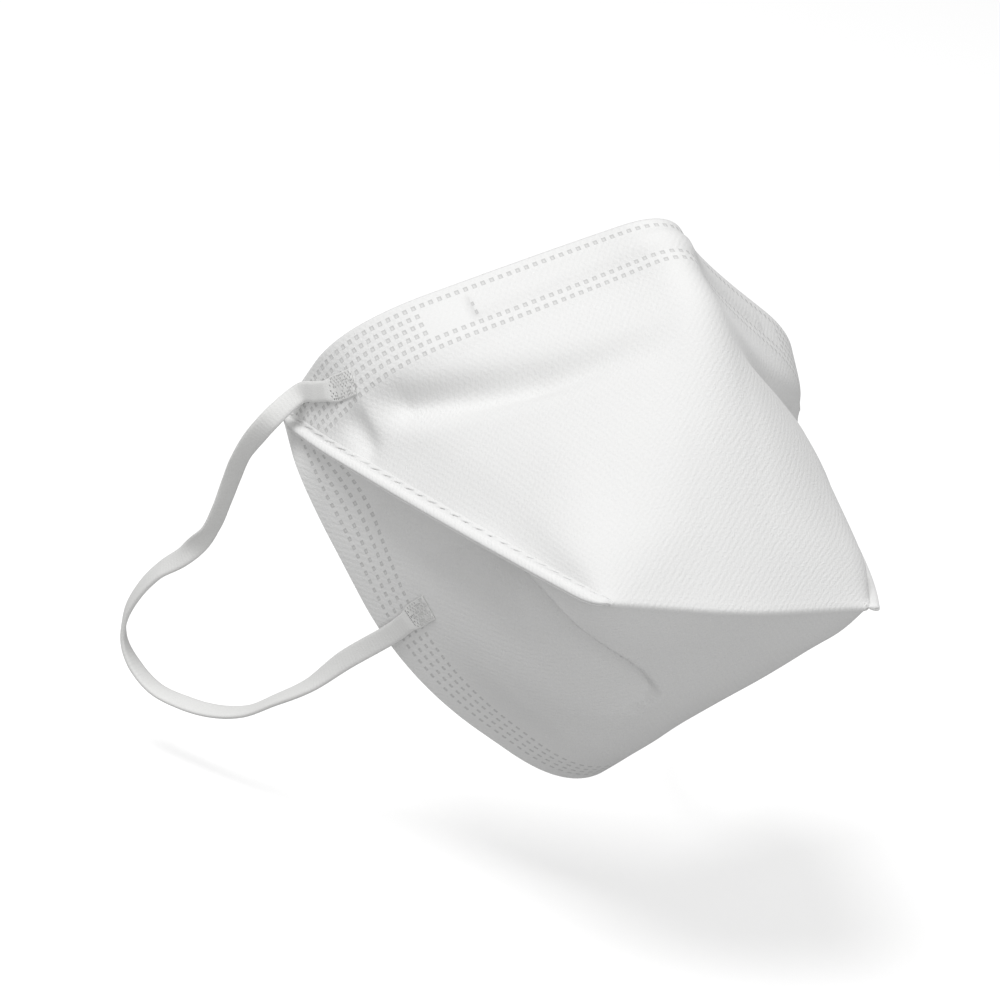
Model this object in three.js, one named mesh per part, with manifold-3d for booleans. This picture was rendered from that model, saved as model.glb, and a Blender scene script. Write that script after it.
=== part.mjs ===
// Disposable folding respirator: a web of nonwoven cloth folded across the front and welded down both sides,
// opened out as it is when worn, with a nose wire in its upper band and an ear loop on each side.
// Millimetres, +Z up. The front fold points to -Y and the face goes in from +Y.
// The origin is the middle of the face opening, between the two ear corners.
import * as THREE from 'three';
import { mergeVertices } from 'three/addons/utils/BufferGeometryUtils.js';
import Module from 'manifold-3d';

const wasm = await Module();
wasm.setup();

// ---------------------------------------------------------------- driving dimensions, mm
const WEB_HEIGHT = 100; // front fold to rim, measured on the cloth
const HALF_FOLD = 35; // half the front fold
const HALF_RIM = 111; // half the rim of one panel
const WALL = 1.2; // the cloth's layers together
const CORNER_SOFTNESS = 0.42; // share of each straight stretch that a corner's rounding takes
const RIGHT_FLARE = 0.096; // how much wider than its left side the mask's right side stands, at most
const FLARE_BIAS = 0.76; // below 1 moves the widest place of that flare towards the front fold

const COLUMNS = 36; // grid across a panel, seam to seam
const PLAIN_ROW = 4; // row spacing on the plain cloth
const BAND_ROWS = [84.5, 87, 89.15, 90.65, 95.15, 96.65, 98.3, 100]; // rows from the upper band's start to the rim

const FLANGE_WIDTH = 2.3; // welded edge outside each side seam
const FLANGE_EAR = 0.5; // what is left of it at the ear corner, where it is trimmed round
const FLANGE_TRIM = 4; // the stretch over which it is trimmed
const FLANGE_ROOT = 1.0;
const FLANGE_TIP = 0.7;

const WIRE = { length: 94, width: 4.5, thickness: 0.6, up: 92.9, steps: 32 };
const WIRE_GAP = 0.3;
const POCKET_BULGE = 0.6; // how far the band stands out over the wire, on each face
const POCKET_EASE = 1.5; // cloth over which that bulge dies away
const POCKET_HOLE = 1.2; // through the inner face at each end of the wire

const STRAP = { width: 4.8, thickness: 1.2, steps: 72 };
const STRAP_SEAT = 0.45; // between a strap's end and the cloth it is welded to

const CLOTH = new THREE.MeshStandardMaterial({ color: 0xf2f2f0, roughness: 0.9, metalness: 0 });
const ELASTIC = new THREE.MeshStandardMaterial({ color: 0xf6f6f4, roughness: 0.85, metalness: 0 });
const ALUMINIUM = new THREE.MeshStandardMaterial({ color: 0xb8babd, roughness: 0.4, metalness: 1 });

// Half sections of the two panels, from the front fold (at 0) to the rim (at 1). The crown is [y, z] in the
// middle, the shoulder and flank [x, y, z] are the two corners the cloth rounds, the seam is [x, y] in z = 0.
const UPPER_SECTIONS = [
  { at: 0.00, crown: [-120, 0], shoulder: [27, -116, 0], flank: [32, -115.5, 0], seam: [33, -115] },
  { at: 0.20, crown: [-107.5, 16], shoulder: [17, -106, 15.5], flank: [34.7, -102.5, 8], seam: [40, -93] },
  { at: 0.45, crown: [-92, 37], shoulder: [15, -89, 33], flank: [38.6, -76.6, 16.5], seam: [48, -65] },
  { at: 0.70, crown: [-76, 57], shoulder: [15, -68, 45], flank: [45, -50.2, 18.5], seam: [55, -37] },
  { at: 0.85, crown: [-64, 64], shoulder: [15, -51, 49], flank: [53.6, -35.8, 23.8], seam: [59, -19] },
  { at: 1.00, crown: [-50, 69], shoulder: [19, -34, 53], flank: [61.1, -21.7, 28.7], seam: [61, 0] },
];
const LOWER_SECTIONS = [
  { at: 0.00, crown: [-120, 0], shoulder: [27, -116, 0], flank: [32, -115.5, 0], seam: [33, -115] },
  { at: 0.20, crown: [-108, -14.3], shoulder: [20.3, -106.5, -15], flank: [33, -104, -10], seam: [40, -93] },
  { at: 0.45, crown: [-94.5, -34], shoulder: [20.7, -90.5, -30.4], flank: [38, -80, -18], seam: [48, -65] },
  { at: 0.70, crown: [-81.4, -52.2], shoulder: [26.5, -67.7, -41.3], flank: [44, -48, -13], seam: [55, -37] },
  { at: 0.85, crown: [-75.3, -61.9], shoulder: [32.6, -48.4, -43.5], flank: [52, -29, -9], seam: [59, -19] },
  { at: 1.00, crown: [-68.3, -68.4], shoulder: [35.4, -35.6, -51.2], flank: [60, -14, -12], seam: [61, 0] },
];

// Folds and dents, laid out on the flat cloth as [across, up from the front fold]. A crease runs from `from` to
// `to`, bowed to the side by `bow`, and sinks the cloth by `depth`; `toFold` and `toRim` are how far it reaches
// on each side, `fadeIn` and `fadeOut` the shares of its length over which it starts and dies away.
const CREASES = [
  { panel: 'upper', from: [-82.5, 82], to: [-8, 64.2], bow: -3.5, depth: 4.4, toFold: 5, toRim: 5.5,
    fadeIn: 0.12, fadeOut: 0.45, mirrored: true },
  { panel: 'upper', from: [-88.5, 86], to: [-85.5, 71], bow: 0, depth: 2, toFold: 4, toRim: 4,
    fadeIn: 0.3, fadeOut: 0.35, mirrored: true },
  { panel: 'upper', from: [-60, 62], to: [-38, 18], bow: 0, depth: 1.6, toFold: 16, toRim: 14,
    fadeIn: 0.5, fadeOut: 0.5, mirrored: true },
  { panel: 'lower', from: [-94, 90], to: [-54, 38], bow: 0, depth: 3.6, toFold: 9, toRim: 16,
    fadeIn: 0.2, fadeOut: 0.2, mirrored: true },
];
// The tuck in the lower panel's left side: the cloth sinks by `depth` over `drop` behind its edge and comes back
// out over `toRim`, both dying away to nothing at the tuck's inner end.
const TUCK = { from: [-57, 30], to: [-4.5, 39.5], bow: -13.5, depth: 11, drop: 4, toRim: 60 };
const SEAM_REST = 4; // folds die away over this much cloth next to a side seam

// The left ear loop: its two ends are welded to the cloth at [across, up], with the strap's middle line at
// `lift` above its seat. The rest hangs free through `at`, its outer side turned to look along `faces`.
const LOOP_START = [
  { across: -81.4, up: 89.5, lift: 0 },
  { across: -85.4, up: 90.7, lift: 0 },
  { across: -89.4, up: 92.3, lift: 0.1 },
  { across: -93.8, up: 94.8, lift: 0.2 },
  { across: -98.5, up: 97.5, lift: 0.6 },
];
const LOOP_FREE = [
  { at: [-67.4, -7.4, 0.4], faces: [-0.7, -0.7, 0] },
  { at: [-68.9, 0.2, -10.9], faces: [0, -1, -0.3] },
  { at: [-68.6, 4, -18.4], faces: [0.1, -1, -0.3] },
  { at: [-68.6, 6.6, -25.6], faces: [0.2, -1, -0.3] },
  { at: [-69, 9.6, -33], faces: [0.1, -1, -0.3] },
  { at: [-71.2, 16, -42], faces: [-0.9, -0.4, 0.2] },
  { at: [-73.8, 22.5, -48.4], faces: [-0.9, 0, 0.4] },
  { at: [-75.6, 27.7, -55.6], faces: [-0.95, 0.15, 0.3] },
  { at: [-76.3, 31.5, -63.6], faces: [-0.9, 0.3, 0.1] },
  { at: [-75.4, 32.1, -70.2], faces: [-0.85, 0.5, -0.1] },
  { at: [-72.7, 29.4, -75.5], faces: [-0.5, 0.7, -0.45] },
  { at: [-68.8, 24.3, -79.3], faces: [-0.1, 0.45, -0.85] },
  { at: [-64.1, 16.6, -79.8], faces: [0.3, 0.15, -0.9] },
  { at: [-59.7, 9, -78.6], faces: [0.4, 0, -0.9] },
  { at: [-55.6, 1.3, -75.3], faces: [0.4, 0, -0.9] },
  { at: [-52.2, -6.2, -69.2], faces: [0.45, 0.1, -0.85] },
  { at: [-48.9, -15.3, -61.6], faces: [0.5, 0.3, -0.75] },
  { at: [-45.3, -24.2, -51.4], faces: [0.6, 0.5, -0.3] },
];
const LOOP_END = [
  { across: -54.6, up: 95, lift: 0.4 },
  { across: -54.8, up: 90, lift: 0 },
  { across: -55, up: 85, lift: 0 },
  { across: -55, up: 80, lift: 0 },
];
const RIGHT_LOOP_RISE = 0.94; // the right loop hangs a little less low

// ---------------------------------------------------------------- the cloth as a surface
const halfWidth = (up) => HALF_FOLD + (HALF_RIM - HALF_FOLD) * up / WEB_HEIGHT;
const clamp01 = (value) => THREE.MathUtils.clamp(value, 0, 1);
const flare = (share, up) => (
  share > 0 ? 1 + RIGHT_FLARE * Math.sin(Math.PI * (up / WEB_HEIGHT) ** FLARE_BIAS) : 1);

// A section between two rows of a table, on cubic curves through every row.
function sectionAt(table, at) {
  const numbers = (row) => [...row.crown, ...row.shoulder, ...row.flank, ...row.seam];
  const last = table.length - 1;
  const k = Math.max(0, Math.min(last - 1, table.findIndex((row) => row.at > at) - 1, last - 1));
  const index = at >= 1 ? last - 1 : k;
  const slope = (i) => {
    const before = table[Math.max(i - 1, 0)];
    const after = table[Math.min(i + 1, last)];
    const start = numbers(before);
    return numbers(after).map((value, n) => (value - start[n]) / (after.at - before.at));
  };
  const [low, high] = [table[index], table[index + 1]];
  const span = high.at - low.at;
  const t = (at - low.at) / span;
  const [a, b] = [numbers(low), numbers(high)];
  const [slopeA, slopeB] = [slope(index), slope(index + 1)];
  const blend = a.map((value, n) => (2 * t ** 3 - 3 * t ** 2 + 1) * value
    + (t ** 3 - 2 * t ** 2 + t) * span * slopeA[n]
    + (3 * t ** 2 - 2 * t ** 3) * b[n]
    + (t ** 3 - t ** 2) * span * slopeB[n]);
  return {
    crown: new THREE.Vector3(0, blend[0], blend[1]),
    shoulder: new THREE.Vector3(blend[2], blend[3], blend[4]),
    flank: new THREE.Vector3(blend[5], blend[6], blend[7]),
    seam: new THREE.Vector3(blend[8], blend[9], 0),
  };
}

// The half section as one path from the middle to the seam: straight stretches with rounded corners.
function sectionPath(section) {
  const { crown, shoulder, flank, seam } = section;
  const near = (corner, next) => corner.clone().lerp(next, CORNER_SOFTNESS);
  const crownEnd = near(crown, shoulder);
  const middle = crown.clone().multiplyScalar(0.5).add(crownEnd.clone().multiplyScalar(0.5)).setX(0);
  const path = new THREE.CurvePath();
  path.add(new THREE.QuadraticBezierCurve3(middle, crown.clone().lerp(crownEnd, 0.5), crownEnd));
  path.add(new THREE.LineCurve3(crownEnd, near(shoulder, crown)));
  path.add(new THREE.QuadraticBezierCurve3(near(shoulder, crown), shoulder, near(shoulder, flank)));
  path.add(new THREE.LineCurve3(near(shoulder, flank), near(flank, shoulder)));
  path.add(new THREE.QuadraticBezierCurve3(near(flank, shoulder), flank, near(flank, seam)));
  path.add(new THREE.LineCurve3(near(flank, seam), seam));
  return path;
}

// Where a point of the flat cloth lies along and beside a bowed line from `from` to `to`.
function besideLine(line, across, up) {
  const dx = line.to[0] - line.from[0];
  const dy = line.to[1] - line.from[1];
  const length = Math.hypot(dx, dy);
  const along = ((across - line.from[0]) * dx + (up - line.from[1]) * dy) / length ** 2;
  const t = clamp01(along);
  const bow = 4 * line.bow * t * (1 - t);
  const [sideX, sideY] = [-dy / length, dx / length].map((value) => value * Math.sign(dx || 1));
  const offX = across - line.from[0] - dx * t - sideX * bow;
  const offY = up - line.from[1] - dy * t - sideY * bow;
  const side = offX * sideX + offY * sideY;
  return { along, t, distance: Math.hypot(offX, offY), rimward: side > 0 };
}

function creaseDepth(crease, across, up) {
  const { along, distance, rimward } = besideLine(crease, across, up);
  const reach = distance / (rimward ? crease.toRim : crease.toFold);
  const fade = clamp01(along / crease.fadeIn) * clamp01((1 - along) / crease.fadeOut);
  return crease.depth * Math.exp(-1.5 * reach ** 2) * fade;
}

function tuckDepth(across, up) {
  const { along, t, distance, rimward } = besideLine(TUCK, across, up);
  if (!rimward || along > 1) return 0;
  const left = Math.max(1 - t, 0.03);
  const drop = 1 - (1 - clamp01(distance / (TUCK.drop * left ** 0.5))) ** 1.6;
  const backOut = 1 - THREE.MathUtils.smoothstep(distance, 0, TUCK.toRim * left ** 0.35);
  return TUCK.depth * left ** 0.6 * drop * backOut;
}

function foldDepth(panel, across, up) {
  let depth = panel === 'lower' ? tuckDepth(across, up) : 0;
  for (const crease of CREASES.filter((row) => row.panel === panel)) {
    depth += creaseDepth(crease, across, up);
    if (crease.mirrored) depth += creaseDepth(crease, -across, up);
  }
  return depth * clamp01((halfWidth(up) - Math.abs(across)) / SEAM_REST);
}

// How much of the pocket's bulge a point of the upper band has, 0 to 1.
function pocketShare(panel, across, up) {
  if (panel !== 'upper') return 0;
  const past = Math.max(Math.abs(across) - WIRE.length / 2 - POCKET_EASE, 0);
  const beside = Math.max(Math.abs(up - WIRE.up) - WIRE.width / 2, 0);
  return clamp01(1 - Math.hypot(past, beside) / POCKET_EASE);
}

const ROWS = [];
for (let up = 0; up < BAND_ROWS[0] - 1; up += PLAIN_ROW) ROWS.push(up);
ROWS.push(...BAND_ROWS);
const LAST_ROW = ROWS.length - 1;

// Grid points are grid[column][row], columns from the left seam to the right, rows from fold to rim.
function gridNormals(grid, outward) {
  return grid.map((column, i) => column.map((point, j) => {
    const across = grid[Math.min(i + 1, COLUMNS)][j].clone().sub(grid[Math.max(i - 1, 0)][j]);
    const up = column[Math.min(j + 1, LAST_ROW)].clone().sub(column[Math.max(j - 1, 0)]);
    return across.cross(up).normalize().multiplyScalar(outward);
  }));
}

function makePanel(name, table, outward) {
  const paths = ROWS.map((up) => sectionPath(sectionAt(table, up / WEB_HEIGHT)));
  const shares = Array.from({ length: COLUMNS + 1 }, (_, i) => 2 * i / COLUMNS - 1);
  const smooth = shares.map((share) => paths.map((path, j) => {
    const point = path.getPoint(Math.abs(share));
    return point.setX(point.x * Math.sign(share) * flare(share, ROWS[j]));
  }));
  const smoothNormals = gridNormals(smooth, outward);
  const outer = smooth.map((column, i) => column.map((point, j) => {
    const across = shares[i] * halfWidth(ROWS[j]);
    const rise = POCKET_BULGE * pocketShare(name, across, ROWS[j]) - foldDepth(name, across, ROWS[j]);
    return point.clone().addScaledVector(smoothNormals[i][j], rise);
  }));
  const normals = gridNormals(outer, outward);
  const thickness = shares.map((share) => ROWS.map((up) => (
    WALL + 2 * POCKET_BULGE * pocketShare(name, share * halfWidth(up), up))));
  return { name, outward, outer, normals, thickness };
}

const upper = makePanel('upper', UPPER_SECTIONS, 1);
const lower = makePanel('lower', LOWER_SECTIONS, -1);

// A point at `height` above the outer face of a finished panel, and the way that face looks there.
function onWeb(panel, across, up, height) {
  const column = (across / halfWidth(up) + 1) / 2 * COLUMNS;
  const i = Math.min(Math.floor(column), COLUMNS - 1);
  const j = Math.max(0, Math.min(LAST_ROW - 1, ROWS.findIndex((row) => row > up) - 1));
  const row = up >= WEB_HEIGHT ? LAST_ROW - 1 : j;
  const [s, t] = [column - i, (up - ROWS[row]) / (ROWS[row + 1] - ROWS[row])];
  const mix = (grid) => grid[i][row].clone().lerp(grid[i + 1][row], s)
    .lerp(grid[i][row + 1].clone().lerp(grid[i + 1][row + 1], s), t);
  const facing = mix(panel.normals).normalize();
  return { point: mix(panel.outer).addScaledVector(facing, height), facing };
}

// ---------------------------------------------------------------- filter pouch
// Collects triangles over points that are shared by number.
class Shell {
  constructor() {
    this.positions = [];
    this.indices = [];
  }

  point(vector) {
    this.positions.push(vector.x, vector.y, vector.z);
    return this.positions.length / 3 - 1;
  }

  quad(a, b, c, d, flip) {
    const corners = flip ? [a, d, c, b] : [a, b, c, d];
    this.indices.push(corners[0], corners[1], corners[2], corners[0], corners[2], corners[3]);
  }

  triangle(a, b, c, flip) {
    this.indices.push(...(flip ? [a, c, b] : [a, b, c]));
  }

  geometry() {
    const geometry = new THREE.BufferGeometry();
    geometry.setAttribute('position', new THREE.Float32BufferAttribute(this.positions, 3));
    geometry.setIndex(this.indices);
    return geometry;
  }
}

// The way in from an edge that two or more faces share, long enough to keep the wall's thickness.
function mitre(...facings) {
  const middle = facings.reduce((sum, facing) => sum.add(facing), new THREE.Vector3()).normalize();
  const slant = Math.min(...facings.map((facing) => middle.dot(facing)));
  return middle.multiplyScalar(-1 / Math.max(slant, 0.45));
}

function pouchGeometry() {
  const shell = new Shell();
  const inRows = ROWS.map((_, j) => j);
  const inColumns = upper.outer.map((_, i) => i);
  const onSeam = (i) => i === 0 || i === COLUMNS;
  const lift = new THREE.Vector3(0, 0, FLANGE_ROOT / 2);

  // Outer faces. Along the seams and the front fold the panels stand half the flange's root off z = 0.
  const outer = [upper, lower].map((panel) => inColumns.map((i) => inRows.map((j) => {
    const point = panel.outer[i][j].clone();
    if (onSeam(i) || j === 0) point.addScaledVector(lift, panel.outward);
    return shell.point(point);
  })));
  // Inner faces. The seams and the front fold are single lines that both panels share.
  const sharedInner = (i, j) => {
    const inward = mitre(upper.normals[i][j], lower.normals[i][j]);
    return shell.point(upper.outer[i][j].clone().setZ(0).addScaledVector(inward, WALL));
  };
  const shared = inColumns.map((i) => inRows.map((j) => (onSeam(i) || j === 0 ? sharedInner(i, j) : null)));
  const inner = [upper, lower].map((panel) => inColumns.map((i) => inRows.map((j) => (
    shared[i][j] ?? shell.point(panel.outer[i][j].clone()
      .addScaledVector(panel.normals[i][j], -panel.thickness[i][j]))))));

  for (const side of [0, 1]) {
    for (let i = 0; i < COLUMNS; i += 1) {
      for (let j = 0; j < LAST_ROW; j += 1) {
        const [out, inn] = [outer[side], inner[side]];
        shell.quad(out[i][j], out[i + 1][j], out[i + 1][j + 1], out[i][j + 1], side === 1);
        shell.quad(inn[i][j], inn[i + 1][j], inn[i + 1][j + 1], inn[i][j + 1], side === 0);
      }
      const [out, inn] = [outer[side], inner[side]];
      shell.quad(out[i][LAST_ROW], out[i + 1][LAST_ROW], inn[i + 1][LAST_ROW], inn[i][LAST_ROW], side === 1);
    }
  }
  for (let i = 0; i < COLUMNS; i += 1) {
    shell.quad(outer[1][i][0], outer[1][i + 1][0], outer[0][i + 1][0], outer[0][i][0], false);
  }

  // Welded flanges outside the side seams, square to the seam's line.
  for (const i of [0, COLUMNS]) {
    const flip = i === 0;
    const tips = inRows.map((j) => {
      const along = upper.outer[i][Math.min(j + 1, LAST_ROW)].clone().sub(upper.outer[i][Math.max(j - 1, 0)]);
      const outwards = new THREE.Vector3(along.y, -along.x, 0).normalize().multiplyScalar(flip ? -1 : 1);
      const trim = THREE.MathUtils.smoothstep(WEB_HEIGHT - ROWS[j], 0, FLANGE_TRIM);
      const width = THREE.MathUtils.lerp(FLANGE_EAR, FLANGE_WIDTH, trim);
      const tip = upper.outer[i][j].clone().setZ(0).addScaledVector(outwards, width);
      return [FLANGE_TIP / 2, -FLANGE_TIP / 2].map((z) => shell.point(tip.clone().setZ(z)));
    });
    for (let j = 0; j < LAST_ROW; j += 1) {
      const [[top, bottom], [topNext, bottomNext]] = [tips[j], tips[j + 1]];
      shell.quad(outer[0][i][j], top, topNext, outer[0][i][j + 1], flip);
      shell.quad(top, bottom, bottomNext, topNext, flip);
      shell.quad(bottom, outer[1][i][j], outer[1][i][j + 1], bottomNext, flip);
    }
    shell.quad(outer[0][i][0], outer[1][i][0], tips[0][1], tips[0][0], flip);
    shell.quad(outer[0][i][LAST_ROW], tips[LAST_ROW][0], tips[LAST_ROW][1], outer[1][i][LAST_ROW], flip);
    shell.triangle(outer[0][i][LAST_ROW], outer[1][i][LAST_ROW], shared[i][LAST_ROW], flip);
  }
  return shell.geometry();
}

// ---------------------------------------------------------------- straps and wire
// A smooth line whose flat section keeps facing where the cloth or the strap does.
class FlatLine extends THREE.CatmullRomCurve3 {
  constructor(stations) {
    super(stations.map((station) => station.point), false, 'centripetal');
    this.facings = stations.map((station) => station.facing);
  }

  computeFrenetFrames(segments) {
    const frames = { tangents: [], normals: [], binormals: [] };
    for (let i = 0; i <= segments; i += 1) {
      const place = this.getUtoTmapping(i / segments) * (this.facings.length - 1);
      const before = Math.min(Math.floor(place), this.facings.length - 2);
      const facing = this.facings[before].clone().lerp(this.facings[before + 1], place - before);
      const tangent = this.getTangentAt(i / segments);
      const across = facing.cross(tangent).normalize();
      frames.tangents.push(tangent);
      frames.normals.push(across);
      frames.binormals.push(tangent.clone().cross(across));
    }
    return frames;
  }
}

function ovalSection(width, thickness) {
  const shape = new THREE.Shape();
  const [w, t] = [width / 2, thickness / 2];
  const corners = [[1, 0], [0.8, 0.7], [0, 1], [-0.8, 0.7], [-1, 0], [-0.8, -0.7], [0, -1], [0.8, -0.7]];
  corners.forEach(([x, y], n) => (n ? shape.lineTo(x * w, y * t) : shape.moveTo(x * w, y * t)));
  return shape;
}

function barSection(width, thickness) {
  const shape = new THREE.Shape();
  shape.moveTo(-width / 2, -thickness / 2);
  shape.lineTo(width / 2, -thickness / 2);
  shape.lineTo(width / 2, thickness / 2);
  shape.lineTo(-width / 2, thickness / 2);
  return shape;
}

const alongLine = (section, line, steps) => new THREE.ExtrudeGeometry(section, {
  steps, extrudePath: line, bevelEnabled: false, curveSegments: 1,
});

// A flat bar in the middle of the upper band's wall, longer, wider and thicker than the wire by `grow` all round.
function wireBar(grow) {
  const half = WIRE.length / 2 + grow;
  const depth = POCKET_BULGE + WALL / 2;
  const stations = Array.from({ length: WIRE.steps + 1 }, (_, n) => (
    onWeb(upper, half * (2 * n / WIRE.steps - 1), WIRE.up, -depth)));
  const section = barSection(WIRE.width + 2 * grow, WIRE.thickness + 2 * grow);
  return alongLine(section, new FlatLine(stations), WIRE.steps);
}

function earLoop(side) {
  const height = STRAP_SEAT + STRAP.thickness / 2;
  const welded = (panel, rows) => rows.map(({ across, up, lift }) => (
    onWeb(panel, -side * across, up, height + lift)));
  // The strap makes half a turn on its way, so its other side shows at its lower end.
  const turned = (station) => ({ point: station.point, facing: station.facing.negate() });
  const mirror = new THREE.Vector3(-side, 1, 1);
  const rise = side === 1 ? RIGHT_LOOP_RISE : 1;
  const free = LOOP_FREE.map(({ at: [x, y, z], faces }) => ({
    point: new THREE.Vector3(x, y, z < 0 ? z * rise : z).multiply(mirror),
    facing: new THREE.Vector3(...faces).multiply(mirror),
  }));
  const stations = [...welded(upper, LOOP_START), ...free, ...welded(lower, LOOP_END).map(turned)];
  return alongLine(ovalSection(STRAP.width, STRAP.thickness), new FlatLine(stations), STRAP.steps);
}

// ---------------------------------------------------------------- cutting the wire's pocket
function toSolid(geometry) {
  const bare = geometry.clone();
  bare.deleteAttribute('normal');
  bare.deleteAttribute('uv');
  const merged = mergeVertices(bare, 1e-4);
  return new wasm.Manifold(new wasm.Mesh({
    numProp: 3,
    vertProperties: new Float32Array(merged.attributes.position.array),
    triVerts: new Uint32Array(merged.index.array),
  }));
}

function toGeometry(solid) {
  const mesh = solid.getMesh();
  const geometry = new THREE.BufferGeometry();
  geometry.setAttribute('position', new THREE.BufferAttribute(mesh.vertProperties, 3));
  geometry.setIndex(new THREE.BufferAttribute(mesh.triVerts, 1));
  return geometry;
}

// A small square hole from the pocket through the inner face, at one end of the wire.
function pocketHole(end) {
  const inner = -(WALL + 2 * POCKET_BULGE);
  const across = end * (WIRE.length / 2 - POCKET_HOLE);
  const { point, facing } = onWeb(upper, across, WIRE.up, inner / 2 - POCKET_BULGE);
  const hole = new THREE.BoxGeometry(POCKET_HOLE, POCKET_HOLE, 2 * (WALL + POCKET_BULGE));
  hole.applyQuaternion(new THREE.Quaternion().setFromUnitVectors(new THREE.Vector3(0, 0, 1), facing));
  return hole.translate(point.x, point.y, point.z);
}

function cutPouch() {
  const cutters = [wireBar(WIRE_GAP), pocketHole(-1), pocketHole(1)].map(toSolid);
  return toGeometry(cutters.reduce((solid, cutter) => solid.subtract(cutter), toSolid(pouchGeometry())));
}

// ---------------------------------------------------------------- the assembly
function named(name, geometry, material) {
  const mesh = new THREE.Mesh(geometry, material);
  mesh.name = name;
  return mesh;
}

const respirator = new THREE.Group();
respirator.add(
  named('filter_pouch', cutPouch(), CLOTH),
  named('nose_wire', wireBar(0), ALUMINIUM),
  named('ear_loop_left', earLoop(-1), ELASTIC),
  named('ear_loop_right', earLoop(1), ELASTIC),
);

export default respirator;
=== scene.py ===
import math
import bpy
import numpy as np
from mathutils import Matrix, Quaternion, Vector


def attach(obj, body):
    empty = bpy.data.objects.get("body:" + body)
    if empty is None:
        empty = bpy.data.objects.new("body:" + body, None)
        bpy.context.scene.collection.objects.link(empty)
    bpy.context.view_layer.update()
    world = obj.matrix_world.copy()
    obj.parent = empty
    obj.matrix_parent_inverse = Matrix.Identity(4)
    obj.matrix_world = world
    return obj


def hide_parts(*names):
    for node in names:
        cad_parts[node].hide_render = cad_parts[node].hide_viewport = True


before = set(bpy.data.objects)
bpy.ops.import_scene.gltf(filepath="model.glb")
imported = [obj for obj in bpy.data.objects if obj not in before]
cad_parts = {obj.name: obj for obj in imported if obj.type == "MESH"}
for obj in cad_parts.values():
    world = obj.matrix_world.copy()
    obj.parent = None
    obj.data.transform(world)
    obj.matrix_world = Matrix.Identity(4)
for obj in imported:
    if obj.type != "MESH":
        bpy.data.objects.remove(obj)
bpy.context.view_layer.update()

# ---------------------------------------------------------------- camera
# A long lens from the wearer's right, a little above the mask, rolled so that the mask leans over.
VIEW_TARGET = Vector((0.0, -0.0555, 0.0))
VIEW_DISTANCE = 1.194
VIEW_AZIMUTH = math.radians(-29.95)
VIEW_ELEVATION = math.radians(18.01)
VIEW_ROLL = math.radians(11.66)

camera_data = bpy.data.cameras.new("camera")
camera_data.lens = 189.54
camera_data.sensor_width = 36
camera_data.shift_x = -0.1198
camera_data.shift_y = 0.0064
camera_data.clip_end = 20
camera = bpy.data.objects.new("camera", camera_data)
bpy.context.collection.objects.link(camera)
towards_camera = Vector((
    math.sin(VIEW_AZIMUTH) * math.cos(VIEW_ELEVATION),
    -math.cos(VIEW_AZIMUTH) * math.cos(VIEW_ELEVATION),
    math.sin(VIEW_ELEVATION),
))
camera.location = VIEW_TARGET + towards_camera * VIEW_DISTANCE
camera.rotation_mode = "QUATERNION"
level = (-towards_camera).to_track_quat("-Z", "Y")
camera.rotation_quaternion = level @ Quaternion((0, 0, 1), VIEW_ROLL)
bpy.context.scene.camera = camera

# ---------------------------------------------------------------- filter pouch: the shape of the cloth
# One web of layered nonwoven cloth, folded in half across the front and welded together down both sides,
# then opened out over the face. Its shape is worked out in millimetres over the flat web: across it from the
# middle, and up it from the front fold to the rim.
MM = 0.001
WEB_HEIGHT = 100.0
HALF_FOLD = 35.0
HALF_RIM = 111.0
CORNER_SOFTNESS = 0.42
BEND_STEPS = 16
SIDE_SLOPE = (HALF_RIM - HALF_FOLD) / WEB_HEIGHT
RIGHT_FLARE, FLARE_BIAS = 0.096, 0.76  # the right side stands up to this much wider

# Half sections of each panel, fold to rim:
# share | crown y z | shoulder x y z | flank x y z | seam x y
UPPER_SECTIONS = np.array([
    (0.00, -120, 0, 27, -116, 0, 32, -115.5, 0, 33, -115),
    (0.20, -107.5, 16, 17, -106, 15.5, 34.7, -102.5, 8, 40, -93),
    (0.45, -92, 37, 15, -89, 33, 38.6, -76.6, 16.5, 48, -65),
    (0.70, -76, 57, 15, -68, 45, 45, -50.2, 18.5, 55, -37),
    (0.85, -64, 64, 15, -51, 49, 53.6, -35.8, 23.8, 59, -19),
    (1.00, -50, 69, 19, -34, 53, 61.1, -21.7, 28.7, 61, 0),
])
LOWER_SECTIONS = np.array([
    (0.00, -120, 0, 27, -116, 0, 32, -115.5, 0, 33, -115),
    (0.20, -108, -14.3, 20.3, -106.5, -15, 33, -104, -10, 40, -93),
    (0.45, -94.5, -34, 20.7, -90.5, -30.4, 38, -80, -18, 48, -65),
    (0.70, -81.4, -52.2, 26.5, -67.7, -41.3, 44, -48, -13, 55, -37),
    (0.85, -75.3, -61.9, 32.6, -48.4, -43.5, 52, -29, -9, 59, -19),
    (1.00, -68.3, -68.4, 35.4, -35.6, -51.2, 60, -14, -12, 61, 0),
])

# Creases on both halves of each panel:
# from across up | to across up | bow | depth | reach to the fold, to the rim | share fading in, out
CREASES = {
    "upper": (
        ((-82.5, 82), (-8, 64.2), -3.5, 4.4, 5.0, 5.5, 0.12, 0.45),
        ((-88.5, 86), (-85.5, 71), 0, 2.0, 4, 4, 0.3, 0.35),
        ((-60, 62), (-38, 18), 0, 1.6, 16, 14, 0.5, 0.5),
    ),
    "lower": (((-94, 90), (-54, 38), 0, 3.6, 9, 16, 0.2, 0.2),),
}
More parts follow.
